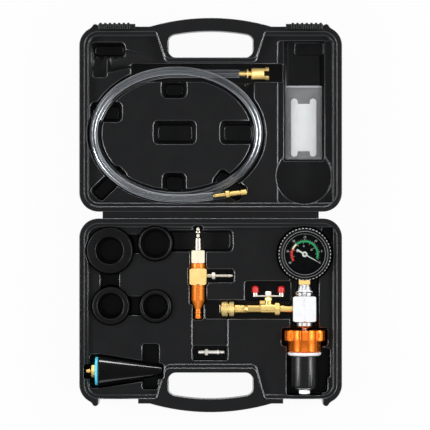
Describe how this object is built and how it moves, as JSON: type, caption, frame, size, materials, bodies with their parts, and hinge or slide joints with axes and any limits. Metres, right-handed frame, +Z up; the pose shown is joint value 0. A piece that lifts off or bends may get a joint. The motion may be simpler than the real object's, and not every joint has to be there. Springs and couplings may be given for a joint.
{
  "type": "coolant vacuum refill kit",
  "caption": "Open moulded carry case with a vacuum gauge head, ball valve, venturi, cone plug, rubber neck sleeves and a clear hose for refilling an engine's cooling system.",
  "frame": {"origin": "on the ground under the middle of the open case", "axes": "+X along the fold to the gauge's side, +Y from the base half to the lid half, +Z up"},
  "size_m": [0.288, 0.4324, 0.0538],
  "materials": {
    "moulded_black": "fine moulded texture, satin",
    "clear_hose": "clear flexible tube",
    "brass": "machined, bright",
    "clear_film": "thin clear film",
    "white_plastic": "satin white",
    "satin_aluminium": "machined, satin",
    "black_rubber": "moulded, dull",
    "steel": "plated, bright",
    "dial_print": "printed dial",
    "lens": "clear lens",
    "orange_anodised": "anodised, satin",
    "red_vinyl": "dipped vinyl",
    "blue_ring": "smooth"
  },
  "bodies": {
    "base": {"case_base": "moulded_black", "hinge_strip": "moulded_black"},
    "lid": {"case_lid": "moulded_black", "hose": "clear_hose", "hose_coupler": "brass", "hose_fitting": "brass", "parts_bag": "clear_film", "bagged_clip": "white_plastic"},
    "latch_left": {"latch_left": "moulded_black"},
    "latch_right": {"latch_right": "moulded_black"},
    "vacuum_head": {"manifold_block": "satin_aluminium", "gauge_adapter": "satin_aluminium", "gauge_socket": "brass", "gauge_boot": "black_rubber", "gauge_can": "steel", "gauge_bezel": "satin_aluminium", "gauge_dial": "dial_print", "gauge_lens": "lens", "bourdon_tube": "brass", "movement_plate": "brass", "lower_collar": "satin_aluminium", "centre_tube": "steel", "rubber_plug": "black_rubber", "end_washer": "steel", "end_nut": "steel", "valve_nipple": "brass", "valve_body": "brass", "valve_seats": "white_plastic", "gland_nut": "brass", "coupler_body": "brass", "coupler_spring": "steel", "coupler_balls": "steel", "coupler_ring": "steel"},
    "needle": {"gauge_needle": "white_plastic", "pinion_arbor": "brass"},
    "sector": {"sector_gear": "brass"},
    "follower": {"pressure_washer": "white_plastic"},
    "knob": {"star_knob": "orange_anodised"},
    "valve_lever": {"valve_ball": "steel", "valve_stem": "brass", "valve_handle": "steel", "handle_caps": "red_vinyl", "handle_nut": "steel"},
    "pull_sleeve": {"coupler_sleeve": "brass"},
    "venturi": {"venturi_body": "orange_anodised", "venturi_nozzle": "brass", "venturi_collar": "brass", "venturi_inlet_nut": "satin_aluminium", "air_plug": "steel", "suction_barb": "steel"},
    "spare_nipple": {"spare_nipple": "steel"},
    "neck_1": {"neck_sleeve_1": "black_rubber"},
    "neck_2": {"neck_sleeve_2": "black_rubber"},
    "neck_3": {"neck_sleeve_3": "black_rubber"},
    "neck_4": {"neck_sleeve_4": "black_rubber"},
    "cone": {"cone_plug": "black_rubber", "cone_ring": "blue_ring", "cone_hex": "brass", "cone_nipple": "brass"}
  },
  "joints": [
    {"name": "lid_hinge", "type": "hinge", "parent": "base", "child": "lid", "pos_m": [0, 0, 0.04015], "axis": [1, 0, 0], "range_deg": [0, 180], "deforming": ["hinge_strip"]},
    {"name": "latch_left_slide", "type": "slide", "parent": "lid", "child": "latch_left", "axis": [1, 0, 0], "range_m": [0, 0.007]},
    {"name": "latch_right_slide", "type": "slide", "parent": "lid", "child": "latch_right", "axis": [-1, 0, 0], "range_m": [0, 0.007]},
    {"name": "head_lift", "type": "slide", "parent": "base", "child": "vacuum_head", "axis": [0, 0, -1], "range_m": [-0.09, 0]},
    {"name": "needle_sweep", "type": "hinge", "parent": "vacuum_head", "child": "needle", "pos_m": [0.1032, -0.043, 0.03], "axis": [0, 0, 1], "range_deg": [0, 240]},
    {"name": "sector_swing", "type": "hinge", "parent": "vacuum_head", "child": "sector", "pos_m": [0.1182, -0.043, 0.03], "axis": [0, 0, 1], "range_deg": [-48, 0]},
    {"name": "plug_squeeze", "type": "slide", "parent": "vacuum_head", "child": "follower", "axis": [0, -1, 0], "range_m": [0, 0.0045], "deforming": ["rubber_plug"]},
    {"name": "knob_turn", "type": "hinge", "parent": "follower", "child": "knob", "pos_m": [0.1032, -0.1266, 0.03], "axis": [0, -1, 0], "range_deg": [0, 1080]},
    {"name": "valve_turn", "type": "hinge", "parent": "vacuum_head", "child": "valve_lever", "pos_m": [0.0634, -0.1033, 0.03], "axis": [0, 1, 0], "range_deg": [-90, 0]},
    {"name": "sleeve_pull", "type": "slide", "parent": "vacuum_head", "child": "pull_sleeve", "axis": [1, 0, 0], "range_m": [0, 0.003], "stiffness_N_per_m": 800, "springref_m": -0.002, "deforming": ["coupler_spring"]},
    {"name": "venturi_lift", "type": "slide", "parent": "base", "child": "venturi", "axis": [0, 0, -1], "range_m": [-0.09, 0]},
    {"name": "nipple_lift", "type": "slide", "parent": "base", "child": "spare_nipple", "axis": [0, 0, -1], "range_m": [-0.09, 0]},
    {"name": "neck_1_lift", "type": "slide", "parent": "base", "child": "neck_1", "axis": [0, 0, -1], "range_m": [-0.09, 0]},
    {"name": "neck_2_lift", "type": "slide", "parent": "base", "child": "neck_2", "axis": [0, 0, -1], "range_m": [-0.09, 0]},
    {"name": "neck_3_lift", "type": "slide", "parent": "base", "child": "neck_3", "axis": [0, 0, -1], "range_m": [-0.09, 0]},
    {"name": "neck_4_lift", "type": "slide", "parent": "base", "child": "neck_4", "axis": [0, 0, -1], "range_m": [-0.09, 0]},
    {"name": "cone_lift", "type": "slide", "parent": "base", "child": "cone", "axis": [0, 0, -1], "range_m": [-0.09, 0]}
  ],
  "couplings": [
    {"joint": "sector_swing", "follows": "needle_sweep", "ratio": -0.2},
    {"joint": "plug_squeeze", "follows": "knob_turn", "m_per_rad": 0.0002387}
  ]
}
